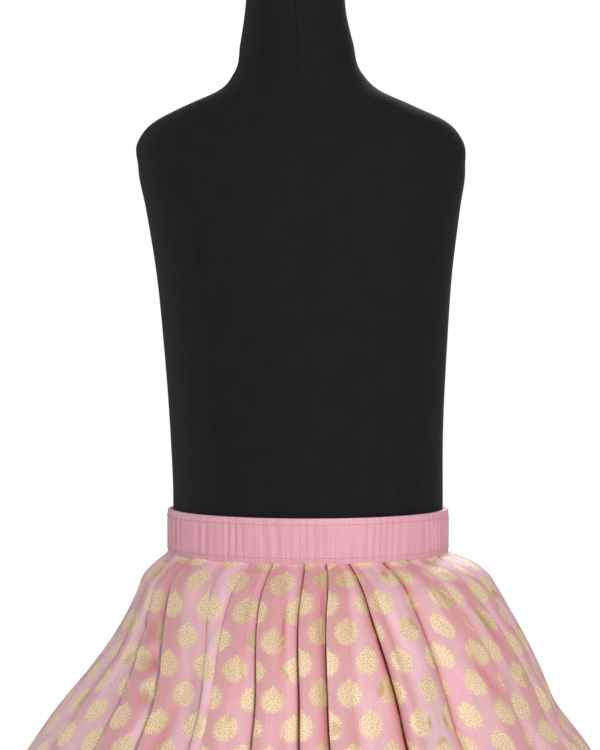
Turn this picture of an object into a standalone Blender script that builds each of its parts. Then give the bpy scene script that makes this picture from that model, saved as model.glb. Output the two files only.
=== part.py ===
"""A child's pleated lehenga skirt on a limbless dress form. Metres, Z up, back of the skirt to -Y."""
import bpy
import numpy as np

for old in list(bpy.data.objects):
    bpy.data.objects.remove(old, do_unlink=True)

# Sizes of the skirt
SEAM_Z = 0.656            # where the pleats are sewn to the waistband
WALL = 0.002              # cloth of the skirt
GAP = 0.0003              # between neighbouring pieces
BAND_HEIGHT = 0.035
BAND_HALF_X = 0.112
BAND_HALF_Y = 0.092
BAND_THICK = 0.0037
PLEAT_AT_WAIST = 0.0028   # how far a pleat stands out where it leaves the band
PLEAT_AT_HEM = 0.034
STEPS_PER_PLEAT = 6

# Outline of the skirt: depth under the waist seam, then the half sizes to each side, in mm
OUTLINE_COLUMNS = ("depth", "left", "right", "back", "front")
OUTLINE = (
    (0.3, 113, 113, 93, 93),
    (7, 121, 129, 105, 104),
    (16, 130, 143, 117, 116),
    (32, 137, 155, 130, 128),
    (54, 148, 168, 145, 142),
    (86, 170, 185, 163, 160),
    (120, 199, 200, 181, 179),
    (160, 228, 230, 207, 205),
    (225, 268, 267, 246, 243),
    (305, 315, 313, 293, 289),
    (395, 366, 363, 344, 341),
    (490, 415, 413, 396, 392),
    (565, 452, 450, 434, 431),
    (636, 482, 481, 467, 464),
)

# Pleats: where each starts at the waist, on the hip and at the hem, in degrees from the centre
# back towards the photo's right, its size against the mean, and how far its crest leans
HIP_DEPTH = 110           # the hip's place under the waist seam, in mm
PLEAT_COLUMNS = ("panel", "waist", "hip", "hem", "size", "lean")
PLEATS = (
    ("skirt_back_left", -89, -85, -88, 1.0, -0.5),
    ("skirt_back_left", -76, -65, -71, 1.1, -0.6),
    ("skirt_back_left", -62, -49, -57, 1.0, -0.4),
    ("skirt_back_left", -53, -39, -45, 0.9, -0.4),
    ("skirt_back_left", -41, -31, -33, 0.9, 0.0),
    ("skirt_back_left", -27, -22, -19, 1.0, -0.7),
    ("skirt_back_left", -15, -11, -7, 1.1, -0.8),
    ("skirt_back_left", -3, -2, 4, 0.9, -0.8),
    ("skirt_back_right", 6, 6, 13, 1.0, -0.8),
    ("skirt_back_right", 18, 21, 25, 1.1, -0.6),
    ("skirt_back_right", 37, 39, 36, 0.9, 0.4),
    ("skirt_back_right", 46, 52, 50, 1.0, 0.6),
    ("skirt_back_right", 57, 63, 61, 1.1, 0.6),
    ("skirt_back_right", 68, 73, 71, 0.9, 0.5),
    ("skirt_back_right", 80, 82, 81, 1.0, 0.6),
    ("skirt_front_right", 91, 92, 92, 1.0, 0.5),
    ("skirt_front_right", 103, 101, 102, 1.1, 0.6),
    ("skirt_front_right", 114, 116, 115, 0.9, 0.7),
    ("skirt_front_right", 124, 126, 125, 1.0, 0.6),
    ("skirt_front_right", 136, 134, 135, 1.1, 0.3),
    ("skirt_front_right", 147, 149, 148, 0.8, -0.4),
    ("skirt_front_right", 157, 156, 159, 1.1, -0.7),
    ("skirt_front_right", 169, 170, 169, 1.0, -0.7),
    ("skirt_front_left", 180, 181, 181, 1.1, -0.8),
    ("skirt_front_left", 193, 191, 192, 0.9, -0.7),
    ("skirt_front_left", 203, 205, 204, 1.0, -0.6),
    ("skirt_front_left", 214, 213, 215, 1.2, -0.4),
    ("skirt_front_left", 227, 226, 225, 0.9, -0.5),
    ("skirt_front_left", 237, 239, 238, 1.0, -0.7),
    ("skirt_front_left", 248, 247, 249, 1.1, -0.6),
    ("skirt_front_left", 260, 261, 259, 0.9, -0.5),
)

# Sizes of the form and its stand
FORM_STEPS = 40
NECK_TOP_Z = 1.105
CAP_HEIGHT = 0.010
POLE_RADIUS = 0.0125
BASE_RADIUS = 0.150
BASE_THICK = 0.010
FORM_BOTTOM_Z = 0.470

# The form: height, half width, half depth, shift to the photo's right, shift to the front, squareness
FORM_COLUMNS = ("z", "half_x", "half_y", "shift_x", "shift_y", "power")
FORM = (
    (FORM_BOTTOM_Z, 0.100, 0.076, 0.000, 0.000, 2.0),
    (0.475, 0.110, 0.086, 0.000, 0.000, 2.0),
    (0.490, 0.118, 0.094, 0.000, 0.000, 2.0),
    (0.530, 0.123, 0.099, 0.000, 0.000, 2.0),
    (0.580, 0.120, 0.097, 0.000, 0.000, 2.0),
    (0.625, 0.111, 0.090, 0.000, 0.000, 2.0),
    (0.648, 0.108, 0.088, 0.000, 0.000, 2.0),
    (0.698, 0.108, 0.088, 0.000, 0.000, 2.0),
    (0.750, 0.109, 0.088, -0.001, 0.000, 2.1),
    (0.820, 0.113, 0.089, -0.002, 0.000, 2.2),
    (0.880, 0.118, 0.089, -0.003, 0.000, 2.3),
    (0.930, 0.125, 0.085, -0.004, -0.001, 2.4),
    (0.962, 0.130, 0.077, -0.005, -0.002, 2.4),
    (0.984, 0.129, 0.067, -0.006, -0.003, 2.3),
    (0.999, 0.116, 0.058, -0.006, -0.004, 2.2),
    (1.012, 0.090, 0.051, -0.007, -0.004, 2.1),
    (1.024, 0.064, 0.047, -0.007, -0.003, 2.0),
    (1.038, 0.051, 0.044, -0.008, -0.002, 2.0),
    (1.062, 0.045, 0.042, -0.009, 0.000, 2.0),
    (1.090, 0.040, 0.040, -0.010, 0.002, 2.0),
    (NECK_TOP_Z, 0.039, 0.039, -0.010, 0.003, 2.0),
)


def table(columns, rows):
    """The rows as one array for each named column."""
    return {name: np.array([row[i] for row in rows]) for i, name in enumerate(columns)}


def material(name, colour, roughness, metallic=0.0):
    """A plain Principled material."""
    made = bpy.data.materials.new(name)
    made.use_nodes = True
    shader = made.node_tree.nodes["Principled BSDF"]
    shader.inputs["Base Color"].default_value = (*colour, 1.0)
    shader.inputs["Roughness"].default_value = roughness
    shader.inputs["Metallic"].default_value = metallic
    return made


def add(name, points, faces, look):
    """One named object from its points and faces."""
    mesh = bpy.data.meshes.new(name)
    mesh.from_pydata([tuple(p) for p in points], [], faces)
    mesh.update()
    mesh.materials.append(look)
    made = bpy.data.objects.new(name, mesh)
    bpy.context.scene.collection.objects.link(made)
    mesh.shade_smooth()
    return made


def quads(rows, columns, first, closed, flip=False):
    """Quads over a grid of points numbered row by row from first."""
    faces = []
    for i in range(rows - 1):
        for j in range(columns if closed else columns - 1):
            k = (j + 1) % columns
            face = [i * columns + j, i * columns + k, (i + 1) * columns + k, (i + 1) * columns + j]
            face = [first + n for n in face]
            faces.append(tuple(reversed(face)) if flip else tuple(face))
    return faces


def tube(name, rings, look, columns):
    """A closed body through rings of points from the bottom to the top, with flat ends."""
    points = np.concatenate(rings)
    faces = quads(len(rings), columns, 0, True)
    faces.append(tuple(reversed(range(columns))))
    faces.append(tuple(range(len(points) - columns, len(points))))
    return add(name, points, faces, look)


def lathe(name, profile, look, columns, centre=(0.0, 0.0)):
    """A solid turned from radius and height pairs, first and last on its flat ends."""
    angles = np.linspace(0, 2 * np.pi, columns, endpoint=False)
    rings = []
    for radius, z in profile:
        ring = (centre[0] + radius * np.cos(angles), centre[1] + radius * np.sin(angles))
        rings.append(np.stack([*ring, np.full(columns, z)], axis=1))
    return tube(name, rings, look, columns)


def ellipse(half_x, half_y, z, columns, shift=(0.0, 0.0), power=2.0):
    """A ring of points on a squared ellipse, turning from the right to the front."""
    angles = np.linspace(0, 2 * np.pi, columns, endpoint=False)
    across = np.sign(np.cos(angles)) * np.abs(np.cos(angles)) ** (2 / power)
    along = np.sign(np.sin(angles)) * np.abs(np.sin(angles)) ** (2 / power)
    ring = (shift[0] + half_x * across, shift[1] + half_y * along)
    return np.stack([*ring, np.full(columns, z)], axis=1)


# Looks
brocade = material("brocade_silk_pink", (0.80, 0.46, 0.47), 0.45)
band_cloth = material("waistband_cloth_pink", (0.76, 0.42, 0.44), 0.6)
jersey = material("jersey_black", (0.012, 0.012, 0.016), 0.8)
enamel = material("enamel_black", (0.02, 0.02, 0.022), 0.35)
steel = material("chromed_steel", (0.55, 0.56, 0.57), 0.2, 1.0)

# Stand: a steel foot with a socket, and a pole with a flange under the form
foot = (
    (BASE_RADIUS - 0.003, 0.0),
    (BASE_RADIUS, 0.002),
    (BASE_RADIUS, BASE_THICK - 0.003),
    (BASE_RADIUS - 0.004, BASE_THICK),
    (0.030, BASE_THICK + 0.003),
    (0.022, BASE_THICK + 0.008),
    (0.020, BASE_THICK + 0.034),
    (0.018, BASE_THICK + 0.036),
    (POLE_RADIUS + GAP, BASE_THICK + 0.036),
    (POLE_RADIUS + GAP, BASE_THICK),
)
lathe("stand_base", foot, enamel, 40)
flange_z = FORM_BOTTOM_Z - GAP
pole = (
    (POLE_RADIUS, BASE_THICK + GAP),
    (POLE_RADIUS, flange_z - 0.012),
    (POLE_RADIUS + 0.003, flange_z - 0.006),
    (0.042, flange_z - 0.004),
    (0.042, flange_z),
)
lathe("stand_pole", pole, steel, 24)

# Form: a torso and neck in one under black jersey, leaning a little as in the photo
form = table(FORM_COLUMNS, FORM)
form_rings = []
for i in range(len(FORM)):
    shift = (form["shift_x"][i], form["shift_y"][i])
    ring = ellipse(form["half_x"][i], form["half_y"][i], form["z"][i], FORM_STEPS, shift, form["power"][i])
    form_rings.append(ring)
tube("form_body", form_rings, jersey, FORM_STEPS)
cap_z = NECK_TOP_Z + GAP
cap = (
    (0.0370, cap_z),
    (0.0385, cap_z + 0.0015),
    (0.0385, cap_z + CAP_HEIGHT - 0.004),
    (0.0360, cap_z + CAP_HEIGHT - 0.001),
    (0.0320, cap_z + CAP_HEIGHT),
)
lathe("neck_cap", cap, enamel, 24, (form["shift_x"][-1], form["shift_y"][-1]))

# Waistband: a plain elasticated casing round the waist of the form
inner_x, inner_y = BAND_HALF_X - BAND_THICK, BAND_HALF_Y - BAND_THICK
band_section = (
    (inner_x, inner_y, 0.0),
    (BAND_HALF_X - 0.0005, BAND_HALF_Y - 0.0005, 0.0),
    (BAND_HALF_X, BAND_HALF_Y, 0.003),
    (BAND_HALF_X, BAND_HALF_Y, BAND_HEIGHT - 0.003),
    (BAND_HALF_X - 0.0008, BAND_HALF_Y - 0.0008, BAND_HEIGHT),
    (inner_x, inner_y, BAND_HEIGHT),
)
band_rings = [ellipse(x, y, SEAM_Z + z, FORM_STEPS) for x, y, z in band_section]
band_faces = quads(len(band_rings) + 1, FORM_STEPS, 0, True)
band_faces = [tuple(n % (len(band_rings) * FORM_STEPS) for n in face) for face in band_faces]
add("waistband", np.concatenate(band_rings), band_faces, band_cloth)

# Skirt: four widths of brocade in pleats, each a thin wall between seams at the bottom of a fold
outline = table(OUTLINE_COLUMNS, OUTLINE)
pleats = table(PLEAT_COLUMNS, PLEATS)
reach = outline["depth"] / outline["depth"][-1]
waist, hip, hem = [np.append(pleats[name], pleats[name][0] + 360) for name in ("waist", "hip", "hem")]


def crest_radius(angle, row):
    """The outline's radius at an angle: an ellipse with its own half size in each quarter."""
    across = np.where(np.sin(angle) > 0, outline["right"][row], outline["left"][row]) / 1000
    along = np.where(np.cos(angle) > 0, outline["back"][row], outline["front"][row]) / 1000
    return 1 / np.sqrt((np.sin(angle) / across) ** 2 + (np.cos(angle) / along) ** 2)


def pleat_grid(name):
    """Outer points of one width, a row for each outline row: crests touch the outline, and
    valleys lie inside it by the pleat's height, which grows from the waist to the hem."""
    members = [k for k in range(len(PLEATS)) if pleats["panel"][k] == name]
    steps = np.arange(STEPS_PER_PLEAT) / STEPS_PER_PLEAT
    share = np.concatenate([steps] * len(members) + [[0.0]])
    which = np.repeat(members, STEPS_PER_PLEAT)
    which = np.append(which, members[-1])
    share[-1] = 1.0
    rows = []
    for row, z_down in enumerate(outline["depth"] / 1000):
        above = min(1, outline["depth"][row] / HIP_DEPTH)
        below = max(0, (outline["depth"][row] - HIP_DEPTH) / (outline["depth"][-1] - HIP_DEPTH))
        edges = waist + (hip - waist) * above + (hem - hip) * below
        leaning = share + 0.22 * pleats["lean"][which] * np.sin(np.pi * share) * min(1, reach[row] * 8)
        angle = np.radians(edges[which] + (edges[which + 1] - edges[which]) * leaning)
        size = 1 + (pleats["size"][which] - 1) * min(1, reach[row] * 8)
        height = (PLEAT_AT_WAIST + (PLEAT_AT_HEM - PLEAT_AT_WAIST) * reach[row] ** 0.75) * size
        radius = crest_radius(angle, row) - height * (1 - np.sin(np.pi * share) ** 0.8)
        seam = GAP / 2 / radius
        angle[0] += seam[0]
        angle[-1] -= seam[-1]
        z = np.full(len(angle), SEAM_Z - z_down)
        rows.append(np.stack([radius * np.sin(angle), -radius * np.cos(angle), z], axis=1))
    return np.stack(rows)


def wall(name, outer, look):
    """A cloth wall: the outer grid, the same grid moved in by its thickness, and a rim."""
    rows, columns = outer.shape[:2]
    down = np.gradient(outer, axis=0)
    along = np.gradient(outer, axis=1)
    normal = np.cross(down, along)
    radial = outer * (1, 1, 0)
    radial = radial / np.linalg.norm(radial, axis=2, keepdims=True)
    normal[0] = radial[0]
    normal[:, 0] = radial[:, 0]
    normal[:, -1] = radial[:, -1]
    normal[-1, :, 2] = 0
    normal /= np.linalg.norm(normal, axis=2, keepdims=True)
    inner = outer - WALL * normal
    points = np.concatenate([outer.reshape(-1, 3), inner.reshape(-1, 3)])
    count = rows * columns
    faces = quads(rows, columns, 0, False, flip=True) + quads(rows, columns, count, False)
    border = list(range(columns))
    border += [i * columns + columns - 1 for i in range(1, rows)]
    border += [(rows - 1) * columns + j for j in range(columns - 2, -1, -1)]
    border += [i * columns for i in range(rows - 2, 0, -1)]
    for a, b in zip(border, border[1:] + border[:1]):
        faces.append((a, b, b + count, a + count))
    return add(name, points, faces, look)


for panel in ("skirt_back_left", "skirt_back_right", "skirt_front_right", "skirt_front_left"):
    wall(panel, pleat_grid(panel), brocade)
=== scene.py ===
import math

import bpy
import numpy as np
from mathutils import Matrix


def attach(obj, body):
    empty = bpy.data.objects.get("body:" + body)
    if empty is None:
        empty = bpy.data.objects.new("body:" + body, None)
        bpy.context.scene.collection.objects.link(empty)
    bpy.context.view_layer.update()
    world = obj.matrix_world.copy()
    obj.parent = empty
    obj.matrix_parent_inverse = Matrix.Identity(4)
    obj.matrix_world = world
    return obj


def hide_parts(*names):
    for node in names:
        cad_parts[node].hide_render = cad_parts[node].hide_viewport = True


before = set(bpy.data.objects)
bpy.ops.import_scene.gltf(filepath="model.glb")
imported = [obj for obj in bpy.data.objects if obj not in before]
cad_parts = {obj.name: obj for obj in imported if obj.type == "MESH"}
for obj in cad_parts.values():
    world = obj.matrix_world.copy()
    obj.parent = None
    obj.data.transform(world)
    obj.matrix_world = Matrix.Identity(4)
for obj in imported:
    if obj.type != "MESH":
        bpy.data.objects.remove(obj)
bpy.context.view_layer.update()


# Foot of the stand.
# A weighted steel disc under black enamel, with a short socket turned on it for the pole.
# It is sprayed and baked, so the edges are rounded and the skin has a faint orange peel.
FOOT_RADIUS = 0.150
FOOT_THICK = 0.010
POLE_RADIUS = 0.0125
SOCKET_BORE = POLE_RADIUS + 0.0003
ENAMEL = "#1a1a1c"


def linear(hexa):
    """The linear colour of an sRGB hex value: each part is divided by 255 and its curve undone."""
    parts = np.array([int(hexa[i:i + 2], 16) for i in (1, 3, 5)]) / 255
    made = np.where(parts <= 0.04045, parts / 12.92, ((parts + 0.055) / 1.055) ** 2.4)
    return (*made.tolist(), 1.0)


def put(tree, kind, inputs=(), out=0, **settings):
    """One node of a material, with its settings, and its inputs set or linked; gives an output."""
    node = tree.nodes.new("ShaderNode" + kind)
    for name, value in settings.items():
        setattr(node, name, value)
    pairs = inputs.items() if isinstance(inputs, dict) else enumerate(inputs)
    for key, value in pairs:
        if isinstance(value, bpy.types.NodeSocket):
            tree.links.new(value, node.inputs[key])
        elif value is not None:
            node.inputs[key].default_value = value
    return node.outputs[out]


def finish_named(name, **constants):
    """A Principled material with its constant sockets set; gives it, its tree and its shader."""
    made = bpy.data.materials.new(name)
    made.use_nodes = True
    shader = made.node_tree.nodes["Principled BSDF"]
    for key, value in constants.items():
        shader.inputs[key.replace("_", " ")].default_value = value
    return made, made.node_tree, shader


def skin(name, grid, look, round_it=True, caps=False, cloth=None):
    """A smooth mesh over a grid of points, rows by columns, that turns outwards; its ends may be
    capped, and cloth gives the flat place of each face's corners for the UV map."""
    rows, columns = grid.shape[:2]
    number = np.arange(rows * columns).reshape(rows, columns)
    if round_it:
        number = np.concatenate([number, number[:, :1]], axis=1)
    low, high = number[:-1], number[1:]
    faces = np.stack([low[:, :-1], low[:, 1:], high[:, 1:], high[:, :-1]], axis=2).reshape(-1, 4)
    faces = faces.tolist()
    if caps:
        faces += [number[0, :columns][::-1].tolist(), number[-1, :columns].tolist()]
    mesh = bpy.data.meshes.new(name)
    mesh.from_pydata(grid.reshape(-1, 3).tolist(), [], faces)
    mesh.materials.append(look)
    if cloth is not None:
        flat = mesh.uv_layers.new(name="cloth")
        flat.data.foreach_set("uv", cloth.reshape(-1).astype(np.float32))
    mesh.shade_smooth()
    mesh.set_sharp_from_angle(angle=math.radians(60))
    made = bpy.data.objects.new(name, mesh)
    bpy.context.scene.collection.objects.link(made)
    return made


def turned(profile, steps=128, middle=(0.0, 0.0)):
    """Points of a profile turned about an upright axis: each radius times the cosine and sine of
    the angle, at its height. The profile's corners are cut three times over, which rounds them."""
    profile = np.array(profile)
    for _ in range(3):
        ends = profile[:1], profile[-1:]
        cut = np.stack([0.75 * profile[:-1] + 0.25 * profile[1:],
                        0.25 * profile[:-1] + 0.75 * profile[1:]], axis=1)
        profile = np.concatenate([ends[0], cut.reshape(-1, 2), ends[1]])
    angle = np.linspace(0, 2 * np.pi, steps, endpoint=False)
    radius = profile[:, :1]
    height = np.repeat(profile[:, 1:], steps, axis=1)
    return np.stack([middle[0] + radius * np.cos(angle), middle[1] + radius * np.sin(angle),
                     height], axis=2)


# Sprayed enamel: the coat gives a soft gloss, the peel breaks it up and dust dulls it in patches
enamel, tree, shader = finish_named("black_enamel_sprayed", Base_Color=linear(ENAMEL),
                                    IOR=1.5, Coat_Weight=0.4, Coat_Roughness=0.15)
place = put(tree, "TexCoord", out="Object")
peel = put(tree, "TexNoise", {"Vector": place, "Scale": 420.0, "Detail": 2.0})
bump = put(tree, "Bump", {"Height": peel, "Strength": 0.12, "Distance": 0.0002})
tree.links.new(bump, shader.inputs["Normal"])
dust = put(tree, "TexNoise", {"Vector": place, "Scale": 22.0, "Detail": 6.0})
wear = put(tree, "MapRange", {"Value": dust, "To Min": 0.26, "To Max": 0.42})
tree.links.new(wear, shader.inputs["Roughness"])

# Radius and height of the profile, from the underside over the rim and up the socket
foot_profile = (
    (FOOT_RADIUS - 0.003, 0.0), (FOOT_RADIUS, 0.0015), (FOOT_RADIUS, FOOT_THICK - 0.003),
    (FOOT_RADIUS - 0.003, FOOT_THICK), (FOOT_RADIUS - 0.012, FOOT_THICK + 0.0005),
    (0.034, FOOT_THICK + 0.003), (0.024, FOOT_THICK + 0.006), (0.0205, FOOT_THICK + 0.014),
    (0.0200, FOOT_THICK + 0.034), (0.0185, FOOT_THICK + 0.036),
    (SOCKET_BORE, FOOT_THICK + 0.036), (SOCKET_BORE, FOOT_THICK),
)
foot = skin("foot", turned(foot_profile), enamel, caps=True)
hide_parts("stand_base")
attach(foot, "root")


# Pole of the stand.
# A chromed steel tube with a flange that carries the form, pushed into the foot's socket.
# It is plated over a polished tube, so it mirrors the room, a little hazed by handling.
FLANGE_RADIUS = 0.042
FLANGE_TOP = 0.4697
CHROME = "#c9ccce"

# Polished plating: a clear mirror with a streaky haze where hands take hold of it
chrome, tree, shader = finish_named("chromed_steel_polished", Base_Color=linear(CHROME), Metallic=1.0)
place = put(tree, "TexCoord", out="Object")
stretch = put(tree, "Mapping", {"Vector": place, "Scale": (1.0, 1.0, 0.15)})
hands = put(tree, "TexNoise", {"Vector": stretch, "Scale": 40.0, "Detail": 5.0})
haze = put(tree, "MapRange", {"Value": hands, "From Min": 0.35, "From Max": 0.75,
                              "To Min": 0.10, "To Max": 0.28})
tree.links.new(haze, shader.inputs["Roughness"])

pole_profile = (
    (POLE_RADIUS, FOOT_THICK + 0.0005), (POLE_RADIUS, 0.200),
    (POLE_RADIUS, FLANGE_TOP - 0.016), (POLE_RADIUS + 0.001, FLANGE_TOP - 0.010),
    (POLE_RADIUS + 0.004, FLANGE_TOP - 0.006), (FLANGE_RADIUS - 0.001, FLANGE_TOP - 0.004),
    (FLANGE_RADIUS, FLANGE_TOP - 0.002), (FLANGE_RADIUS, FLANGE_TOP),
)
pole = skin("pole", turned(pole_profile, 96), chrome, caps=True)
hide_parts("stand_pole")
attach(pole, "root")


# Body of the form.
# A child's moulded torso without limbs, under one tight cover of black cotton jersey.
# The cover is sewn with upright seams and is drawn smooth, so only the knit and the seams show.
FORM_COLUMNS = ("z", "half_x", "half_y", "shift_x", "shift_y", "power")
FORM = (
    (0.470, 0.100, 0.076, 0.000, 0.000, 2.0),
    (0.475, 0.110, 0.086, 0.000, 0.000, 2.0),
    (0.490, 0.118, 0.094, 0.000, 0.000, 2.0),
    (0.530, 0.123, 0.099, 0.000, 0.000, 2.0),
    (0.580, 0.120, 0.097, 0.000, 0.000, 2.0),
    (0.625, 0.111, 0.090, 0.000, 0.000, 2.0),
    (0.648, 0.108, 0.088, 0.000, 0.000, 2.0),
    (0.698, 0.108, 0.088, 0.000, 0.000, 2.0),
    (0.750, 0.109, 0.088, -0.001, 0.000, 2.1),
    (0.820, 0.113, 0.089, -0.002, 0.000, 2.2),
    (0.880, 0.118, 0.089, -0.003, 0.000, 2.3),
    (0.930, 0.125, 0.085, -0.004, -0.001, 2.4),
    (0.962, 0.130, 0.077, -0.005, -0.002, 2.4),
    (0.984, 0.129, 0.067, -0.006, -0.003, 2.3),
    (0.999, 0.116, 0.058, -0.006, -0.004, 2.2),
    (1.012, 0.090, 0.051, -0.007, -0.004, 2.1),
    (1.024, 0.064, 0.047, -0.007, -0.003, 2.0),
    (1.038, 0.051, 0.044, -0.008, -0.002, 2.0),
    (1.062, 0.045, 0.042, -0.009, 0.000, 2.0),
    (1.090, 0.040, 0.040, -0.010, 0.002, 2.0),
    (1.105, 0.039, 0.039, -0.010, 0.003, 2.0),
)
SEAM_TURNS = (0.25, 0.75, 0.64, 0.86, 0.14, 0.36)   # shares of a turn, from the photo's right
FORM_STEPS = 480
JERSEY = "#0b0a0d"
JERSEY_LINT = "#141317"
JERSEY_SHEEN = "#8e8c98"


def eased(at, knots, values):
    """Values between the knots on a smooth curve: cubic pieces whose slope at a knot is the mean
    of the two sides' slopes, each weighted by the other side's length, or level at a turn."""
    knots, values = np.asarray(knots, float), np.asarray(values, float)
    run = np.diff(knots)
    rise = np.diff(values) / run
    between = (rise[1:] * run[:-1] + rise[:-1] * run[1:]) / (run[1:] + run[:-1])
    slope = np.concatenate([rise[:1], between, rise[-1:]])
    turn = np.concatenate([[False], rise[1:] * rise[:-1] <= 0, [False]])
    slope[turn] = 0
    i = np.clip(np.searchsorted(knots, at, side="right") - 1, 0, len(run) - 1)
    u = (at - knots[i]) / run[i]
    a, b = slope[i] * run[i], slope[i + 1] * run[i]
    return ((1 + 2 * u) * (1 - u) ** 2 * values[i] + u * (1 - u) ** 2 * a
            + u * u * (3 - 2 * u) * values[i + 1] - u * u * (1 - u) * b)


# Knitted cotton: matt and nearly black, with lint in patches and loose fibres that pale its edges
jersey, tree, shader = finish_named("black_jersey_knitted_cotton", Roughness=0.86, IOR=1.46,
                                    Specular_IOR_Level=0.28, Sheen_Weight=0.08,
                                    Sheen_Roughness=0.45, Sheen_Tint=linear(JERSEY_SHEEN))
place = put(tree, "TexCoord", out="Object")
# Knit stitches are 0.8 mm apart in a real jersey and are drawn 1.6 mm apart across and 1.3 mm
# upwards, so that they show (a wave's bands lie 0.314 m apart over its scale)
wales = put(tree, "TexWave", {"Vector": place, "Scale": 0.314 / 0.0016, "Distortion": 1.2,
                              "Detail": 1.0}, bands_direction="X")
courses = put(tree, "TexWave", {"Vector": place, "Scale": 0.314 / 0.0013, "Distortion": 0.8,
                                "Detail": 1.0}, bands_direction="Z")
knit = put(tree, "Math", (wales, courses), operation="MULTIPLY")
bump = put(tree, "Bump", {"Height": knit, "Strength": 0.35, "Distance": 0.0004})
tree.links.new(bump, shader.inputs["Normal"])
lint = put(tree, "TexNoise", {"Vector": place, "Scale": 60.0, "Detail": 8.0})
tone = put(tree, "MapRange", {"Value": lint, "From Min": 0.2, "From Max": 0.9})
shade = put(tree, "Mix", {"Factor": tone, 6: linear(JERSEY), 7: linear(JERSEY_LINT)}, out=2,
            data_type="RGBA")
tree.links.new(shade, shader.inputs["Base Color"])

form = {name: np.array([row[i] for row in FORM]) for i, name in enumerate(FORM_COLUMNS)}
level = np.concatenate([np.linspace(0.470, 0.500, 14), np.linspace(0.505, 0.960, 90),
                        np.linspace(0.964, 1.105, 64)])
section = {name: eased(level, form["z"], form[name])[:, None] for name in FORM_COLUMNS}
waist = (level > 0.645) & (level < 0.700)                   # upright under the band
section["half_x"][waist] = 0.108
section["half_y"][waist] = 0.088
turn = np.linspace(0, 2 * np.pi, FORM_STEPS, endpoint=False)[None, :]
across = np.sign(np.cos(turn)) * np.abs(np.cos(turn)) ** (2 / section["power"])
along = np.sign(np.sin(turn)) * np.abs(np.sin(turn)) ** (2 / section["power"])
# Each seam of the cover is a groove 0.3 mm deep between two welts 0.35 mm high, 7 mm wide in all,
# and the cover is about 0.66 m round
from_seams = [(turn / (2 * np.pi) - where) * 0.66 for where in SEAM_TURNS]
welt = sum(0.0006 * np.exp(-(off / 0.0035) ** 2) - 0.0009 * np.exp(-(off / 0.0013) ** 2)
           for off in from_seams)
welt = welt * np.where(waist, 0.0, 1.0)[:, None]
torso = np.stack([section["shift_x"] + (section["half_x"] + welt) * across,
                  section["shift_y"] + (section["half_y"] + welt) * along,
                  np.repeat(level[:, None], FORM_STEPS, axis=1)], axis=2)
body = skin("form_cover", torso, jersey, caps=True)
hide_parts("form_body")
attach(body, "root")


# Cap on the neck.
# A plain moulded disc in black enamel, pressed on the neck over the cover's edge.
CAP_PROFILE = ((0.0372, 1.1053), (0.0385, 1.1066), (0.0385, 1.1110), (0.0370, 1.1140),
               (0.0320, 1.1153))              # radius and height
CAP_MIDDLE = (-0.010, 0.003)
cap = skin("neck_disc", turned(CAP_PROFILE, 96, CAP_MIDDLE), enamel, caps=True)
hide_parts("neck_cap")
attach(cap, "root")


# Waistband.
# A casing of plain pink silk folded over a soft elastic, 35 mm high, which gathers it finely.
# It is stitched along both edges, and the pleats are caught in its lower seam.
SEAM_Z = 0.656
BAND_HEIGHT = 0.035
BAND_HALF_X = 0.112
BAND_HALF_Y = 0.092
BAND_THICK = 0.0035
BAND_GATHERS = 84
BAND_STEPS = 840
BAND_SILK = "#da9aa8"
BAND_SLUB = "#e3a9b6"
BAND_SHEEN = "#f3dcef"

# Plain woven silk: a soft lustre, with paler slubs along the weft
band_silk, tree, shader = finish_named("pink_silk_plain_woven", Roughness=0.5, IOR=1.5,
                                       Sheen_Weight=0.3, Sheen_Roughness=0.35,
                                       Sheen_Tint=linear(BAND_SHEEN))
place = put(tree, "UVMap", uv_map="cloth")
# Threads are 0.2 mm apart and are drawn 0.9 mm apart, so that the weave shows
warp = put(tree, "TexWave", {"Vector": place, "Scale": 0.314 / 0.0009, "Distortion": 0.6},
           bands_direction="X")
weft = put(tree, "TexWave", {"Vector": place, "Scale": 0.314 / 0.0009, "Distortion": 0.6},
           bands_direction="Y")
weave = put(tree, "Math", (warp, weft), operation="MAXIMUM")
bump = put(tree, "Bump", {"Height": weave, "Strength": 0.2, "Distance": 0.0002})
tree.links.new(bump, shader.inputs["Normal"])
slub = put(tree, "Mapping", {"Vector": place, "Scale": (600.0, 14.0, 1.0)})
slub = put(tree, "TexNoise", {"Vector": slub, "Scale": 1.0, "Detail": 3.0})
slub = put(tree, "MapRange", {"Value": slub, "From Min": 0.3, "From Max": 0.7})
tint = put(tree, "Mix", {"Factor": slub, 6: linear(BAND_SILK), 7: linear(BAND_SLUB)}, out=2,
           data_type="RGBA")
tree.links.new(tint, shader.inputs["Base Color"])

angle = np.linspace(0, 2 * np.pi, BAND_STEPS, endpoint=False)
rng = np.random.default_rng(7)
share = np.array((0.0, 0.04, 0.12, 0.2, 0.35, 0.5, 0.65, 0.8, 0.88, 0.96, 1.0))
# The gathers are a cosine whose phase wanders round the band and twists from edge to edge
wander = sum(rng.uniform(0.5, 1.1) * np.sin(k * angle + rng.uniform(0, 6.3)) for k in range(3, 14))
twist = 0.7 * np.sin(5 * angle + 1.0)[None, :] * (share[:, None] - 0.5) * 2
gather = 0.5 - 0.5 * np.cos(BAND_GATHERS * angle + wander + twist)
full = 0.62 + 0.38 * np.sin(17 * angle + 2.0 * np.sin(3 * angle))
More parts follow.
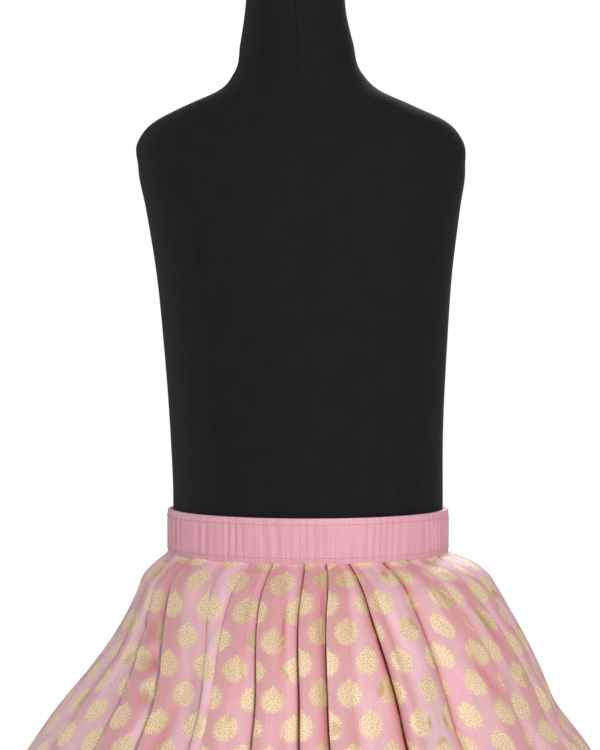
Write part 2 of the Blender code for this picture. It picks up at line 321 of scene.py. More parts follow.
# The section runs over the top, down the inside, under the lower edge and up the outside
outer_z = SEAM_Z + BAND_HEIGHT * (1 - share)
soft = np.array((0.9, 0.45, 0.3, 0.0, 0.0, 0.0, 0.0, 0.0, 0.3, 0.45, 0.9)) / 1000
depth = np.array((0.2, 0.6, 0.15, 1.0, 1.3, 1.4, 1.3, 1.0, 0.15, 0.6, 0.4)) / 1000
inset = soft[:, None] + depth[:, None] * (1 - gather) * full
height_at = np.repeat(outer_z[:, None], BAND_STEPS, axis=1)
outside = np.stack([(BAND_HALF_X + 0.0008 - inset) * np.cos(angle),
                    (BAND_HALF_Y + 0.0008 - inset) * np.sin(angle), height_at], axis=2)
inner_x, inner_y = BAND_HALF_X - BAND_THICK - 0.0002, BAND_HALF_Y - BAND_THICK - 0.0002
inside = np.stack([inner_x * np.cos(angle) + 0 * height_at, inner_y * np.sin(angle) + 0 * height_at,
                   height_at], axis=2)
ring = np.concatenate([outside, inside[::-1], outside[:1]])[::-1]
# Its silk is taken as 1.35 times as long as the band is round, though the gathers drawn here take
# up only 4%
steps_round = 2 * np.pi * 0.102 * 1.35 / BAND_STEPS * np.arange(BAND_STEPS + 1)
steps_down = np.concatenate([[0], np.cumsum(np.linalg.norm(np.diff(ring[:, 0], axis=0), axis=1))])
corner_s = np.stack([steps_round[:-1], steps_round[1:], steps_round[1:], steps_round[:-1]], axis=1)
corner_v = np.stack([steps_down[:-1], steps_down[:-1], steps_down[1:], steps_down[1:]], axis=1)
flat_place = np.stack([np.repeat(corner_s[None], len(ring) - 1, axis=0),
                       np.repeat(corner_v[:, None], BAND_STEPS, axis=1)], axis=3)
band = skin("waistband_casing", ring, band_silk, cloth=flat_place)
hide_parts("waistband")
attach(band, "root")


# Stitching of the waistband.
# Two rows of pink sewing thread hold the elastic, one near the top edge and one over the pleats.
# Each stitch is a short loop of thread, sunk at both ends and standing a little off the silk.
THREAD = "#cf8795"
THREAD_RADIUS = 0.00028
STITCHES = 190
STITCH_LENGTH = 0.0026
ROW_HEIGHTS = (0.0048, 0.0302)       # above the seam

# Twisted thread: its plies catch the light as slanting ridges 0.7 mm apart
thread_look, tree, shader = finish_named("pink_sewing_thread_twisted", Base_Color=linear(THREAD),
                                         Roughness=0.55, IOR=1.5, Sheen_Weight=0.2)
place = put(tree, "TexCoord", out="Object")
ply = put(tree, "TexWave", {"Vector": place, "Scale": 0.314 / 0.0006, "Distortion": 0.5},
          bands_direction="DIAGONAL")
bump = put(tree, "Bump", {"Height": ply, "Strength": 0.4, "Distance": 0.0001})
tree.links.new(bump, shader.inputs["Normal"])


def stitches(name, middle, along, out, length, look):
    """Joined loops of thread: each runs along its own direction by the length, bows outwards by
    one minus the square of the share from its middle, and has six sides."""
    share = np.linspace(-1, 1, 5)
    bow = (1 - share ** 2) * 1.3 - 0.5
    across = np.cross(along, out)
    turn = np.linspace(0, 2 * np.pi, 6, endpoint=False)
    spine = (middle[:, None] + along[:, None] * (share * length / 2)[None, :, None]
             + out[:, None] * (bow * THREAD_RADIUS)[None, :, None])
    thick = (THREAD_RADIUS * (1 - 0.6 * share ** 4))[None, :, None, None]
    round_it = (across[:, None, None] * np.cos(turn)[None, None, :, None]
                + out[:, None, None] * np.sin(turn)[None, None, :, None])
    rings = spine[:, :, None] + thick * round_it
    number = np.arange(rings[..., 0].size).reshape(rings.shape[:3])
    after = np.roll(number, -1, axis=2)
    faces = np.stack([number[:, :-1], after[:, :-1], after[:, 1:], number[:, 1:]], axis=3)
    faces = faces.reshape(-1, 4).tolist()
    faces += number[:, 0, ::-1].tolist() + number[:, -1].tolist()
    mesh = bpy.data.meshes.new(name)
    mesh.from_pydata(rings.reshape(-1, 3).tolist(), [], faces)
    mesh.materials.append(look)
    mesh.shade_smooth()
    sewn = bpy.data.objects.new(name, mesh)
    bpy.context.scene.collection.objects.link(sewn)
    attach(sewn, "root")
    return sewn


for row_number, row_height in enumerate(ROW_HEIGHTS):
    nearest = int(np.abs(outer_z - SEAM_Z - row_height).argmin())
    at = np.round(np.linspace(0, 1, STITCHES, endpoint=False) * BAND_STEPS).astype(int) % BAND_STEPS
    middle = outside[nearest, at] * (1, 1, 0) + (0, 0, SEAM_Z + row_height)
    along = outside[nearest, (at + 1) % BAND_STEPS] - outside[nearest, (at - 1) % BAND_STEPS]
    along = along * (1, 1, 0) / np.linalg.norm(along * (1, 1, 0), axis=1, keepdims=True)
    out = np.stack([along[:, 1], -along[:, 0], 0 * along[:, 0]], axis=1)
    stitches("waistband_stitching_%d" % (row_number + 1), middle, along, out, STITCH_LENGTH,
             thread_look)


# Widths of the skirt.
# Four straight widths of pink silk brocade, laid in knife pleats and sewn into the waistband.
# The pleats are pressed flat under the band, spring out over the hip and open towards the hem.
OUTLINE_COLUMNS = ("depth", "left", "right", "back", "front")
OUTLINE = (
    (-4, 110.6, 110.6, 90.6, 90.6),
    (0.3, 113, 113, 93, 93),
    (7, 121, 129, 105, 104),
    (16, 130, 143, 117, 116),
    (32, 137, 155, 130, 128),
    (54, 148, 168, 145, 142),
    (86, 170, 185, 163, 160),
    (120, 199, 200, 181, 179),
    (160, 228, 230, 207, 205),
    (225, 268, 267, 246, 243),
    (305, 315, 313, 293, 289),
    (395, 366, 363, 344, 341),
    (490, 415, 413, 396, 392),
    (565, 452, 450, 434, 431),
    (636, 482, 481, 467, 464),
)                          # mm
PLEAT_AT_WAIST = 0.0036
PLEAT_AT_HEM = 0.031
PLEAT_COLUMNS = ("panel", "waist", "hip", "hem", "size", "lean", "spread", "valley")
PLEATS = (
    ("back_left", -87, -84, -88, 1.0, -0.6, 0.0, 1.0),
    ("back_left", -73, -64, -71, 1.0, -0.7, 0.0, 1.0),
    ("back_left", -61, -46, -57, 1.3, -0.9, 0.0, 1.0),
    ("back_left", -54, -35, -45, 1.3, -0.8, 0.0, 1.0),
    ("back_left", -40, -28, -33, 0.8, -0.3, 0.0, 0.3),
    ("back_left", -21, -18, -19, 1.2, -0.9, 0.0, 1.0),
    ("back_left", -10, -6, -7, 1.2, -0.9, 0.0, 1.0),
    ("back_right", 5, 5, 5, 1.0, -0.9, 0.0, 1.0),
    ("back_right", 15, 12, 14, 1.0, -0.9, 0.0, 1.0),
    ("back_right", 23, 27, 25, 1.3, -0.5, 0.1, 1.0),
    ("back_right", 37, 39, 36, 1.1, 0.8, 0.0, 1.0),
    ("back_right", 44, 51, 48, 1.2, 0.75, 0.0, 1.0),
    ("back_right", 56, 64, 61, 1.0, 0.6, 0.0, 1.0),
    ("back_right", 68, 73, 71, 0.9, 0.5, 0.0, 1.0),
    ("back_right", 80, 82, 81, 1.0, 0.8, 0.0, 1.0),
    ("front_right", 91, 92, 92, 1.0, 0.7, 0.0, 1.0),
    ("front_right", 103, 101, 102, 1.1, 0.8, 0.0, 1.0),
    ("front_right", 114, 116, 115, 0.9, 0.9, 0.0, 1.0),
    ("front_right", 124, 126, 125, 1.0, 0.7, 0.0, 1.0),
    ("front_right", 136, 134, 135, 1.1, 0.2, 0.1, 1.0),
    ("front_right", 147, 149, 148, 0.8, -0.3, 0.0, 1.0),
    ("front_right", 157, 156, 159, 1.1, -0.6, 0.0, 1.0),
    ("front_right", 169, 170, 169, 1.0, -0.9, 0.0, 1.0),
    ("front_left", 180, 181, 181, 1.1, -0.9, 0.0, 1.0),
    ("front_left", 193, 191, 192, 0.9, -0.8, 0.0, 1.0),
    ("front_left", 203, 205, 204, 1.0, -0.7, 0.0, 1.0),
    ("front_left", 214, 213, 215, 1.2, -0.4, 0.1, 1.0),
    ("front_left", 227, 226, 225, 0.9, -0.6, 0.0, 0.6),
    ("front_left", 237, 239, 238, 1.0, -0.8, 0.0, 1.0),
    ("front_left", 248, 247, 249, 1.1, -0.7, 0.0, 1.0),
    ("front_left", 260, 261, 259, 0.9, -0.6, 0.0, 1.0),
)
STEPS = 34                 # steps across a pleat
ROWS = 200
SKIRT_LONG = 636           # mm from the waist seam down to the hem
HEM_TURN = 20              # the hem is turned up by this many mm and stitched
HEM_CLEAR = 0.0009         # the turn lies this far inside the cloth
HEM_STITCH = 0.0024
HEM_STITCHES_APART = 0.004
# How far a pleat's crest is sheared past its middle at full lean, beyond half its width, by depth
# under the seam, in mm
OVERLAP_COLUMNS = ("depth", "overlap")
OVERLAP = ((-4, 10), (20, 18), (100, 24), (190, 27), (300, 22), (450, 4), (SKIRT_LONG, -30))
# Creases, listed one by one: place in degrees and mm of depth, half length, half width and height in
# mm, and slant as mm aside for each mm down
CREASE_COLUMNS = ("angle", "depth", "long", "wide", "high", "slant")
CREASES = (
    (-57, 52, 5, 9.0, -3.4, 1.2),
    (-53, 63, 5, 9.0, 3.6, -0.8),
    (-50, 75, 5, 9.5, -3.8, 1.4),
    (-47, 87, 5, 8.0, 3.6, -1.2),
    (-46, 99, 6, 9.0, -3.6, 1.1),
    (-43, 114, 13, 5.0, 3.2, -0.3),
    (-37, 128, 30, 6.0, -2.6, -0.2),
    (-70, 66, 22, 5.0, -1.8, 0.2),
    (-33, 70, 34, 4.0, -1.5, -0.2),
    (-21, 96, 40, 5.0, 1.4, 0.0),
    (-8, 34, 30, 2.6, -1.6, 0.0),
    (12, 120, 46, 5.0, -1.3, 0.1),
    (27, 62, 50, 5.0, -1.8, 0.2),
    (33, 118, 44, 6.0, 1.6, 0.3),
    (52, 84, 26, 5.0, -2.2, 0.5),
    (62, 48, 18, 4.0, -1.8, 0.4),
    (74, 110, 40, 6.0, 1.8, 0.2),
    (-82, 240, 60, 12, -4.0, 0.1),
    (-59, 330, 75, 14, 4.5, -0.1),
    (-38, 265, 55, 11, -4.0, 0.2),
    (-17, 410, 80, 15, 5.0, 0.0),
    (2, 300, 60, 12, -4.0, -0.1),
    (24, 380, 90, 16, -5.5, 0.1),
    (44, 290, 50, 12, 4.0, 0.1),
    (66, 450, 85, 15, -5.0, 0.0),
    (86, 340, 70, 13, 4.0, -0.1),
    (108, 260, 55, 12, -4.5, 0.1),
    (130, 420, 80, 15, 5.0, 0.0),
    (152, 300, 60, 13, -4.5, -0.1),
    (171, 450, 90, 16, 5.0, 0.1),
    (196, 330, 70, 13, -4.5, 0.0),
    (220, 240, 50, 12, 4.0, 0.2),
    (243, 400, 85, 15, -5.0, 0.0),
    (263, 290, 60, 12, 4.0, -0.1),
    (98, 70, 24, 5.0, -2.0, 0.3),
    (119, 55, 16, 4.0, -1.8, -0.4),
    (141, 90, 30, 5.0, 2.0, 0.2),
    (163, 62, 26, 4.5, -1.8, 0.0),
    (187, 84, 34, 5.0, -2.0, -0.2),
    (208, 58, 18, 4.0, 1.8, 0.5),
    (231, 100, 36, 6.0, -2.2, 0.2),
    (254, 66, 22, 5.0, -2.0, -0.3),
)

SILK_LILAC = "#f3c3d0"
SILK_DULL = "#d5adae"
SILK_FOLD_SHADE = "#d4878a"
SILK_EDGE_SHADOW = "#8a3a3a"
SILK_SHEEN = "#efd2ee"
GOLD = "#d7a374"
GOLD_GLINT = "#ffeecf"
GOLD_VEIN = "#cba57f"
GOLD_SHADED = "#b08558"
GOLD_SHADED_VEIN = "#d8b78c"
REPEAT_S = 32.0            # mm from figure to figure across, and down
REPEAT_V = 48.5
BUD_HALF_WIDE = 10.2       # mm
BUD_HALF_TALL = 11.0
TIP_TALL = 7.6
TIP_WIDE = 4.6
BUD_TEETH = 15.0


def blended(tree, factor, first, second):
    """One colour passing to another by the factor: first times one minus it plus second times it."""
    return put(tree, "Mix", {"Factor": factor, 6: first, 7: second}, out=2, data_type="RGBA")


# Brocade: satiny silk with a faint sheen, and gold thread as pale and as little metallic as it
# looks in the photo
brocade, tree, shader = finish_named("pink_silk_brocade_gold_zari", IOR=1.5, Sheen_Weight=0.12,
                                     Sheen_Roughness=0.35, Sheen_Tint=linear(SILK_SHEEN))
place = put(tree, "UVMap", uv_map="cloth")
mm = put(tree, "VectorMath", (place, (1000.0, 1000.0, 0.0)), operation="MULTIPLY")
flaw = put(tree, "TexNoise", {"Vector": mm, "Scale": 0.7, "Detail": 2.0})
flaw = put(tree, "Math", (flaw, 0.5), operation="SUBTRACT")
s_mm = put(tree, "SeparateXYZ", (mm,))
v_mm = s_mm.node.outputs[1]
# Gold figures stand in a half drop: the nearer of two lattices gives a point its figure
xa = put(tree, "Math", (s_mm, REPEAT_S / 2, -REPEAT_S / 2), operation="WRAP")
ya = put(tree, "Math", (v_mm, REPEAT_V / 2, -REPEAT_V / 2), operation="WRAP")
half_s = put(tree, "Math", (s_mm, REPEAT_S / 2), operation="ADD")
half_v = put(tree, "Math", (v_mm, REPEAT_V / 2), operation="ADD")
xb = put(tree, "Math", (half_s, REPEAT_S / 2, -REPEAT_S / 2), operation="WRAP")
yb = put(tree, "Math", (half_v, REPEAT_V / 2, -REPEAT_V / 2), operation="WRAP")
near = put(tree, "Math", (put(tree, "Math", (xa,), operation="ABSOLUTE"), 2 / REPEAT_S),
           operation="MULTIPLY")
near = put(tree, "Math", (put(tree, "Math", (ya,), operation="ABSOLUTE"), 2 / REPEAT_V, near),
           operation="MULTIPLY_ADD")
first = put(tree, "Math", (near, 1.0), operation="LESS_THAN")
x = put(tree, "Math", (first, put(tree, "Math", (xa, xb), operation="SUBTRACT"), xb),
        operation="MULTIPLY_ADD")
y = put(tree, "Math", (first, put(tree, "Math", (ya, yb), operation="SUBTRACT"), yb),
        operation="MULTIPLY_ADD")
up = put(tree, "Math", (y, -1.0), operation="MULTIPLY")
# A figure is a round bud, 20 mm wide, drawn up to a point, with a toothed edge and petal veins
wide = put(tree, "Math", (x, 1 / BUD_HALF_WIDE), operation="MULTIPLY")
tall = put(tree, "Math", (up, 1 / BUD_HALF_TALL, 0.10), operation="MULTIPLY_ADD")
disc = put(tree, "CombineXYZ", (wide, tall, 0.0))
disc = put(tree, "VectorMath", (disc,), operation="LENGTH", out=1)
side = put(tree, "Math", (x,), operation="ABSOLUTE")
tip = put(tree, "Math", (up, 1 / TIP_TALL, -0.72), operation="MULTIPLY_ADD")
tip = put(tree, "Math", (side, 1 / TIP_WIDE, tip), operation="MULTIPLY_ADD")
above = put(tree, "Math", (up, -0.5, 1.0), operation="MULTIPLY_ADD")
tip = put(tree, "Math", (tip, above), operation="MAXIMUM")
edge = put(tree, "Math", (disc, tip, 0.22), operation="SMOOTH_MIN")
around = put(tree, "Math", (x, put(tree, "Math", (up, 2.0), operation="ADD")), operation="ARCTAN2")
teeth = put(tree, "Math", (put(tree, "Math", (around, BUD_TEETH), operation="MULTIPLY"),),
            operation="COSINE")
edge = put(tree, "Math", (teeth, 0.035, edge), operation="MULTIPLY_ADD")
edge = put(tree, "Math", (flaw, 0.4, edge), operation="MULTIPLY_ADD")
# The figure is laid in by weft threads, so their ends make its edge uneven from thread to thread
ends = put(tree, "VectorMath", (mm, (0.45, 1.5, 0.0)), operation="MULTIPLY")
ends = put(tree, "TexNoise", {"Vector": ends, "Scale": 1.0, "Detail": 2.0, "Roughness": 0.7})
ends = put(tree, "Math", (ends, 0.5), operation="SUBTRACT")
edge = put(tree, "Math", (ends, 0.5, edge), operation="MULTIPLY_ADD")
gold = put(tree, "MapRange", {"Value": edge, "From Min": 0.76, "From Max": 1.06, "To Min": 1.0,
                              "To Max": 0.0}, interpolation_type="SMOOTHSTEP")
foot_up = put(tree, "Math", (up, 10.0), operation="ADD")
fan = put(tree, "Math", (x, foot_up), operation="ARCTAN2")
fan = put(tree, "Math", (put(tree, "Math", (fan, 6.0), operation="MULTIPLY"),), operation="SINE")
fan = put(tree, "Math", (fan,), operation="ABSOLUTE")
veins = put(tree, "MapRange", {"Value": fan, "From Min": 0.0, "From Max": 0.45, "To Min": 0.22,
                               "To Max": 0.0})
# Metal thread shows painted glints as pale specks about 1 mm across, and darkens to a painted brown
# shade where a fold shades it
# The fold attribute holds painted shade: high deep in a fold, behind and along a neighbour's edge,
# and in a crease's hollow
fold = put(tree, "Attribute", out=2, attribute_name="fold")
speck = put(tree, "TexNoise", {"Vector": mm, "Scale": 1.0, "Detail": 3.0, "Roughness": 0.7})
speck = put(tree, "MapRange", {"Value": speck, "From Min": 0.43, "From Max": 0.55})
metal = blended(tree, speck, linear(GOLD), linear(GOLD_GLINT))
metal = blended(tree, veins, metal, linear(GOLD_VEIN))
shaded = put(tree, "MapRange", {"Value": fold, "From Min": 0.3, "From Max": 0.7, "To Min": 0.0,
                                "To Max": 0.85})
# In patches that a noise places, the metal thread shows brown with pale veins, as where it faces
# away from the light
away = put(tree, "VectorMath", (mm, (0.035, 0.022, 0.0)), operation="MULTIPLY")
away = put(tree, "TexNoise", {"Vector": away, "Scale": 1.0, "Detail": 1.0})
away = put(tree, "MapRange", {"Value": away, "From Min": 0.63, "From Max": 0.68, "To Min": 0.0,
                              "To Max": 0.6})
shaded = put(tree, "Math", (shaded, away), operation="MAXIMUM")
dark = put(tree, "Math", (veins, 4.0), operation="MULTIPLY")
dark = blended(tree, dark, linear(GOLD_SHADED), linear(GOLD_SHADED_VEIN))
metal = blended(tree, shaded, metal, dark)
# The silk's shot look is painted light and shade: lilac pink, its lit colour, where it bends; dull
# rose, partly painted shade where it lies flat beside a pressed edge and partly a tone that a noise
# spreads in patches; salmon, painted shade deep in a fold; and dark red, a painted shadow, along
# the edge
cloud = put(tree, "VectorMath", (mm, (0.05, 0.012, 0.0)), operation="MULTIPLY")
cloud = put(tree, "TexNoise", {"Vector": cloud, "Scale": 1.0, "Detail": 3.0})
flat_shade = put(tree, "Attribute", out=2, attribute_name="flat_shade")
# Painted shade dulls the flat band beside a pleat's own pressed edge; the noise adds a random dull
# tone in patches
dull_shade_and_tone = put(tree, "Math", (flat_shade, 0.35, cloud), operation="MULTIPLY_ADD")
dull_shade_and_tone = put(tree, "MapRange", {"Value": dull_shade_and_tone, "From Min": 0.42, "From Max": 0.74})
outward = blended(tree, dull_shade_and_tone, linear(SILK_LILAC), linear(SILK_DULL))
# Painted shade: salmon where the fold attribute says the cloth runs deep into a fold or under a
# neighbour's edge
fold_shade = put(tree, "MapRange", {"Value": fold, "From Min": 0.06, "From Max": 0.66})
ground = blended(tree, fold_shade, outward, linear(SILK_FOLD_SHADE))
# Painted shadow: dark red where the fold attribute is highest, along a neighbour's pressed edge
edge_shadow = put(tree, "MapRange", {"Value": fold, "From Min": 0.62, "From Max": 0.95})
ground = blended(tree, edge_shadow, ground, linear(SILK_EDGE_SHADOW))
# Threads are 0.15 mm apart and are drawn as streaks about 1 mm apart, so that the weave shows
warp = put(tree, "VectorMath", (mm, (0.85, 0.012, 0.0)), operation="MULTIPLY")
warp = put(tree, "TexNoise", {"Vector": warp, "Scale": 1.0, "Detail": 2.0})
weft = put(tree, "VectorMath", (mm, (0.05, 1.1, 0.0)), operation="MULTIPLY")
weft = put(tree, "TexNoise", {"Vector": weft, "Scale": 1.0, "Detail": 2.0})
thread = put(tree, "Math", (weft, 0.5, warp), operation="MULTIPLY_ADD")
thread = put(tree, "MapRange", {"Value": thread, "From Min": 0.5, "From Max": 1.0,
                                "To Min": 0.955, "To Max": 1.045})
ground = put(tree, "VectorMath", {0: ground, "Scale": thread}, operation="SCALE")
painted = blended(tree, gold, ground, metal)
tree.links.new(painted, shader.inputs["Base Color"])
shine = put(tree, "MapRange", {"Value": gold, "To Min": 0.0, "To Max": 0.12})
tree.links.new(shine, shader.inputs["Metallic"])
rough = put(tree, "MapRange", {"Value": gold, "To Min": 0.52, "To Max": 0.46})
tree.links.new(rough, shader.inputs["Roughness"])
relief = put(tree, "Math", (gold, put(tree, "Math", (speck, 0.6, 0.7), operation="MULTIPLY_ADD")),
             operation="MULTIPLY")
relief = put(tree, "Math", (thread, 1.2, relief), operation="MULTIPLY_ADD")
bump = put(tree, "Bump", {"Height": relief, "Strength": 0.35, "Distance": 0.0003})
tree.links.new(bump, shader.inputs["Normal"])

outline = {name: np.array([row[i] for row in OUTLINE], float)
           for i, name in enumerate(OUTLINE_COLUMNS)}
overlap = {name: np.array([row[i] for row in OVERLAP], float)
           for i, name in enumerate(OVERLAP_COLUMNS)}
pleats = {name: np.array([row[i] for row in PLEATS]) for i, name in enumerate(PLEAT_COLUMNS)}
pleats.update({name: pleats[name].astype(float) for name in PLEAT_COLUMNS[1:]})
count = len(PLEATS)
down = -4 + 640 * np.linspace(0, 1, ROWS) ** 1.25           # mm under the seam
reach = np.clip(down / SKIRT_LONG, 0, 1)                     # 0 at the seam, 1 at the hem
half = {name: eased(down, outline["depth"], outline[name]) / 1000 for name in OUTLINE_COLUMNS[1:]}
lap = eased(down, overlap["depth"], overlap["overlap"]) / 1000
rng = np.random.default_rng(11)
sway = rng.uniform(0, 2 * np.pi, (3, count))
pitch = rng.uniform(0.75, 1.3, (2, count))
stations = np.array([0, 110, SKIRT_LONG])
edge = np.stack([pleats[name] for name in ("waist", "hip", "hem")])
edge = np.concatenate([edge, edge[:, :1] + 360], axis=1)
freed = np.clip((down - 150) / 150, 0, 1)[:, None]           # the folds wander only below the hip
swing = 1.6 * freed * np.sin(down[:, None] / 95 * pitch[0] + sway[0])
swing = np.concatenate([swing, swing[:, :1]], axis=1)
edges = np.stack([eased(down.clip(0, SKIRT_LONG), stations, edge[:, k])
                  for k in range(count + 1)], axis=1)
edges = np.radians(edges + swing)
size = 1 + (pleats["size"] - 1) * np.clip(reach * 8, 0, 1)[:, None]
swell = np.sin(down[:, None] / 95 * pitch[1] + sway[1]) * np.clip(reach * 4, 0, 1)[:, None]
size = size * (1 + 0.16 * swell)
height = (PLEAT_AT_WAIST + (PLEAT_AT_HEM - PLEAT_AT_WAIST) * reach[:, None] ** 0.68) * size
height = height * np.where(down < 0, 0.6, 1.0)[:, None]


def crest(theta):
    """The outline's radius by angle and row: one over the root of the sum of the squares of sine
    over the half width and cosine over the half depth, each half with its own size."""
    wide = np.where(np.sin(theta) > 0, half["right"][:, None, None], half["left"][:, None, None])
    deep = np.where(np.cos(theta) > 0, half["back"][:, None, None], half["front"][:, None, None])
    return 1 / np.sqrt((np.sin(theta) / wide) ** 2 + (np.cos(theta) / deep) ** 2)


def shared(own, t):
    """A pleat's own value at its crest, passing at each valley to the mean of the two pleats that
    meet there, so that both sides start alike; a shallow valley takes its share."""
    before = np.concatenate([own[:, -1:], own[:, :-1]], axis=1)
    start = (own + before) / 2 * pleats["valley"][None, :, None]
    end = np.concatenate([start[:, 1:], start[:, :1]], axis=1)
    blend = t * t * (3 - 2 * t)
    between = start * (1 - blend) + end * blend
    return between + (own - between) * np.sin(np.pi * t)


def pleated():
    """Points of all pleats by row, pleat and step, with the painted shade of each point, which
    gathers deep in the fold, behind and along a neighbour's folded edge and in a crease's hollow, and
    the painted shade of the flat band beside the pleat's own edge. Across a pleat the cloth rises as
    a power of a half sine, and is sheared sideways by that rise, so its crest leans over the next
    pleat where the shear passes half the width. Spread leans both its edges outwards by a full sine.
    Creases are added as products of two bell curves, and the hem hangs by two sines of the angle."""
    t = np.linspace(0, 1, STEPS + 1)
    t = 0.45 * t + 0.55 * (0.5 - 0.5 * np.cos(np.pi * t))
    rise = np.sin(np.pi * t)[None, None, :] ** (0.95 - 0.12 * reach)[:, None, None]
    rise[..., [0, -1]] = 0
    left = edges[:, :-1, None]
    turn = edges[:, 1:, None] - left
    wide = turn * crest(left + turn / 2)
    lean = pleats["lean"][None, :, None]
    spread = pleats["spread"][None, :, None] * np.sin(2 * np.pi * t)
    shift = shared(lean * (0.5 * wide + lap[:, None, None]), t)
    high = shared(height[..., None], t)
    place = t + shift / wide * rise - spread * (1 - reach[:, None, None])
    theta = left + turn * place
    ripple = np.sin(2 * np.pi * t * 1.6 + sway[2][None, :, None]
                    + down[:, None, None] / 60 * pitch[1][None, :, None])
    ripple = ripple * np.sin(np.pi * t) * (0.0003 + 0.0022 * reach[:, None, None])
    radius = crest(theta) - high * (1 - rise) + ripple
    dip = 0 * radius
    for row in CREASES:
        crease = dict(zip(CREASE_COLUMNS, row))
        off = (theta - math.radians(crease["angle"]) + np.pi) % (2 * np.pi) - np.pi
        below = down[:, None, None] - crease["depth"]
        aside = off * radius * 1000 - crease["slant"] * below
        soft = np.exp(-(aside / crease["wide"]) ** 2 - (below / crease["long"]) ** 2)
        radius = radius + crease["high"] / 1000 * soft * rise ** 0.5
        # A crease's hollow adds painted shade
        dip = dip - crease["high"] / crease["wide"] * soft * rise
    hang = 0.0025 * np.sin(3 * theta + 1.0) + 0.0020 * np.sin(7 * theta + 2.5)
    z = SEAM_Z - down[:, None, None] / 1000 + hang * reach[:, None, None] ** 2
    points = np.stack([radius * np.sin(theta), -radius * np.cos(theta), z], axis=3)
    # Painted shade gathers towards a neighbour's pressed edge, behind the pleat's own and in the
    # valley
    left_edge, right_edge = theta.min(axis=2, keepdims=True), theta.max(axis=2, keepdims=True)
    next_left = np.concatenate([left_edge[:, 1:], left_edge[:, :1] + 2 * np.pi], axis=1)
    last_right = np.concatenate([right_edge[:, -1:] - 2 * np.pi, right_edge[:, :-1]], axis=1)
    towards = np.where(lean < 0, (theta - left_edge) / (next_left - left_edge),
                       (right_edge - theta) / (right_edge - last_right))
    step = np.arange(STEPS + 1)
    behind = np.where(lean < 0, step < place.argmin(axis=2)[..., None],
                      step > place.argmax(axis=2)[..., None])
    under = np.where(behind, 1.0, np.clip(towards, 0, 1) ** 2.8)
    under = under * np.clip(np.abs(lean) * 1.3, 0, 1) * (1 - 0.6 * reach[:, None, None])
    # A painted shadow darkens the cloth within a few mm of a neighbour's edge, fading towards the hem
    clear = np.minimum(next_left - theta, theta - last_right) * radius
    edge_shadow = np.exp(-np.clip(clear, 0, None) / 0.0015) * (1 - reach[:, None, None])
    valley = shared(np.ones_like(wide), t)
    deep = np.clip(np.maximum((1 - rise) ** 1.3, under) + 1.2 * dip, 0, 1)
    # Painted shade: a dull band on the flat beside the pleat's own edge, fading towards the hem
    flat_shade = np.exp(-(towards / 0.42) ** 2) * np.abs(lean) * (1 - reach[:, None, None])
    return points, (0.6 * deep + 0.4 * edge_shadow) * np.clip(valley, 0, 1), flat_shade


def laid_flat(points):
    """The flat place of each point: across, the length along the row from the crest, set so that
    neighbouring pleats meet at the hem as in the uncut cloth; down, the crests' mean length."""
    step = np.linalg.norm(np.diff(points, axis=2), axis=3)
    along = np.concatenate([np.zeros_like(step[..., :1]), np.cumsum(step, axis=2)], axis=2)
    top = STEPS // 2
    across = along - along[:, :, top:top + 1]
    apart = along[-1, :-1, -1] - along[-1, :-1, top] + along[-1, 1:, top]
    start = np.concatenate([[0], np.cumsum(apart)])
    fall = np.linalg.norm(np.diff(points[:, :, top], axis=0), axis=2)
    fall = np.concatenate([np.zeros_like(fall[:1]), np.cumsum(fall, axis=0)])
    fall = np.repeat(fall.mean(axis=1)[:, None], fall.shape[1], axis=1)
    return across + start[None, :, None], np.repeat(fall[..., None], STEPS + 1, axis=2)


def moved_in(points, by):
    """Points of a cloth moved to its inner side: by a distance against the cross product of the
    way along the row and the way up, which points outwards."""
    out = np.cross(np.gradient(points, axis=1), -np.gradient(points, axis=0))
    return points - by * out / np.linalg.norm(out, axis=2, keepdims=True)


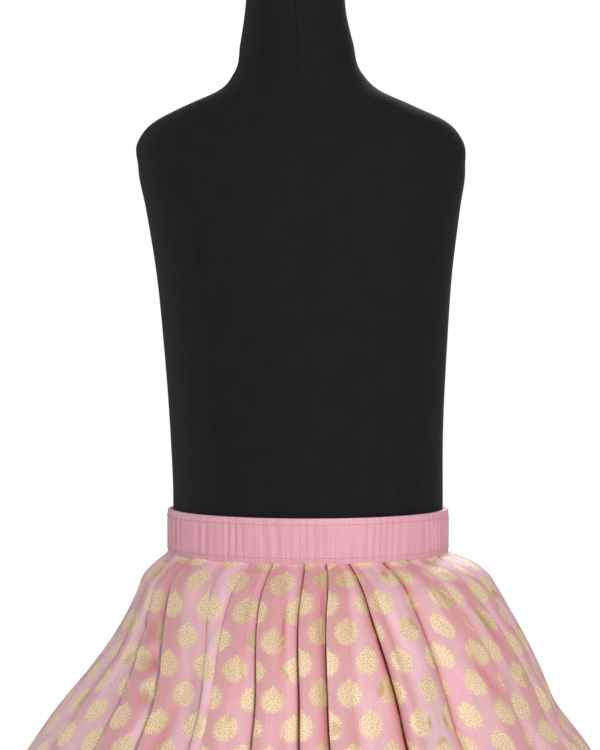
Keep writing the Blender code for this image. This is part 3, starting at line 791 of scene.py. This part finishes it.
pleats_points, pleats_fold_shade, pleats_flat_shade = pleated()
turned_up = np.nonzero(down > SKIRT_LONG - HEM_TURN)[0][:-1][::-1]
for panel in ("back_left", "back_right", "front_right", "front_left"):
    members = [k for k in range(count) if pleats["panel"][k] == panel]
    points = pleats_points[:, members]
    # A gap of 0.03 to 0.13 mm is left free at each seam between two widths
    points[:, 0, 0] += (points[:, 0, 1] - points[:, 0, 0]) * 0.02
    points[:, -1, -1] += (points[:, -1, -2] - points[:, -1, -1]) * 0.02
    across, fall = laid_flat(points)
    grid = np.concatenate([points[:, :, :-1].reshape(ROWS, -1, 3), points[:, -1:, -1]], axis=1)
    shades = [np.concatenate([part[:, members, :-1].reshape(ROWS, -1), part[:, members[-1:], -1]],
                             axis=1) for part in (pleats_fold_shade, pleats_flat_shade)]
    # The hem is folded to the inner side and lies against it, so the cut is longer by the turn
    fall_turned = 2 * fall[-1:] - fall[turned_up]
    flat = np.stack([np.concatenate([across, across[turned_up]]),
                     np.concatenate([fall, fall_turned])], axis=3)[::-1]
    whole = np.concatenate([grid, moved_in(grid, HEM_CLEAR)[turned_up]])[::-1]
    corners = np.stack([flat[:-1, :, :-1], flat[:-1, :, 1:], flat[1:, :, 1:], flat[1:, :, :-1]],
                       axis=3)
    sheet = skin("skirt_width_" + panel, whole, brocade, round_it=False, cloth=corners)
    for name, shade in zip(("fold", "flat_shade"), shades):
        mark = sheet.data.attributes.new(name, "FLOAT", "POINT")
        shade = np.concatenate([shade, shade[turned_up]])[::-1]
        mark.data.foreach_set("value", shade.reshape(-1).astype(np.float32))
    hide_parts("skirt_" + panel)
    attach(sheet, "root")

    # The turn is held by a row of thread that shows outside as short stitches
    row = int(np.abs(down - (SKIRT_LONG - HEM_TURN + 2)).argmin())
    line, rise_to = grid[row], grid[row - 1] - grid[row]
    run = np.concatenate([[0], np.cumsum(np.linalg.norm(np.diff(line, axis=0), axis=1))])
    at = np.arange(0.003, run[-1] - 0.003, HEM_STITCHES_APART)
    middle = np.stack([np.interp(at, run, line[:, axis]) for axis in range(3)], axis=1)
    ahead = np.stack([np.interp(at + 0.001, run, line[:, axis]) for axis in range(3)], axis=1)
    uphill = np.stack([np.interp(at, run, rise_to[:, axis]) for axis in range(3)], axis=1)
    along = (ahead - middle) / np.linalg.norm(ahead - middle, axis=1, keepdims=True)
    out = np.cross(along, uphill)
    out /= np.linalg.norm(out, axis=1, keepdims=True)
    stitches("hem_stitching_" + panel, middle, along, out, HEM_STITCH, thread_look)


# Floor and light.
# A plain pale floor, white all round, and a soft main lamp at the photo's front right.
# A weak lamp stands at the front left, and two stand behind.
FLOOR_RADIUS = 2.2
FLOOR_PAINT = "#f2f0ee"

floor_look, tree, shader = finish_named("pale_painted_floor", Base_Color=linear(FLOOR_PAINT),
                                        Roughness=0.7)
angle = np.linspace(0, 2 * np.pi, 96, endpoint=False)
disc = bpy.data.meshes.new("floor")
rim = np.stack([FLOOR_RADIUS * np.cos(angle), FLOOR_RADIUS * np.sin(angle), 0 * angle], axis=1)
disc.from_pydata(rim.tolist(), [], [range(len(rim))])
disc.materials.append(floor_look)
floor = bpy.data.objects.new("floor", disc)
bpy.context.scene.collection.objects.link(floor)

world = bpy.data.worlds.new("white_room")
bpy.context.scene.world = world
world.use_nodes = True
tree = world.node_tree
sky = tree.nodes["Background"]
sky.inputs["Color"].default_value = (1.0, 1.0, 1.0, 1.0)
seen = put(tree, "LightPath", out=0)
glow = put(tree, "MapRange", {"Value": seen, "To Min": 0.24, "To Max": 1.0})
tree.links.new(glow, sky.inputs["Strength"])


def lamp(name, at, towards, size, watts):
    """A square lamp at a place, turned towards another."""
    made = bpy.data.lights.new(name, "AREA")
    made.size = size
    made.energy = watts
    put_up = bpy.data.objects.new(name, made)
    bpy.context.scene.collection.objects.link(put_up)
    put_up.location = at
    aim = np.array(towards) - np.array(at)
    put_up.rotation_euler = (math.acos(-aim[2] / np.linalg.norm(aim)), 0, math.atan2(-aim[0], aim[1]))


lamp("key", (0.9, -2.5, 1.9), (0, 0, 0.6), 0.7, 58)
lamp("side", (-2.2, -1.6, 1.3), (0, 0, 0.5), 1.4, 10)
lamp("behind", (0.6, 2.4, 2.0), (0, 0, 0.5), 1.2, 36)
lamp("behind_left", (-2.2, 1.2, 1.2), (0, 0, 0.5), 1.4, 12)


# Camera.
# Placed for the photo's view: 1.8 m away and 6 cm above what it looks at, so that a pixel is 0.8 mm
# at the form's middle.
FROM = (-0.0064, -1.8, 0.857)
LOOKS_AT_HEIGHT = 0.7976

eye = bpy.data.cameras.new("camera")
eye.lens = 108
eye.sensor_width = 36
eye.dof.use_dof = False
camera = bpy.data.objects.new("camera", eye)
bpy.context.scene.collection.objects.link(camera)
camera.location = FROM
camera.rotation_euler = (math.radians(90) - math.atan2(FROM[2] - LOOKS_AT_HEIGHT, -FROM[1]), 0, 0)
bpy.context.scene.camera = camera
bpy.context.scene.view_settings.view_transform = "Standard"
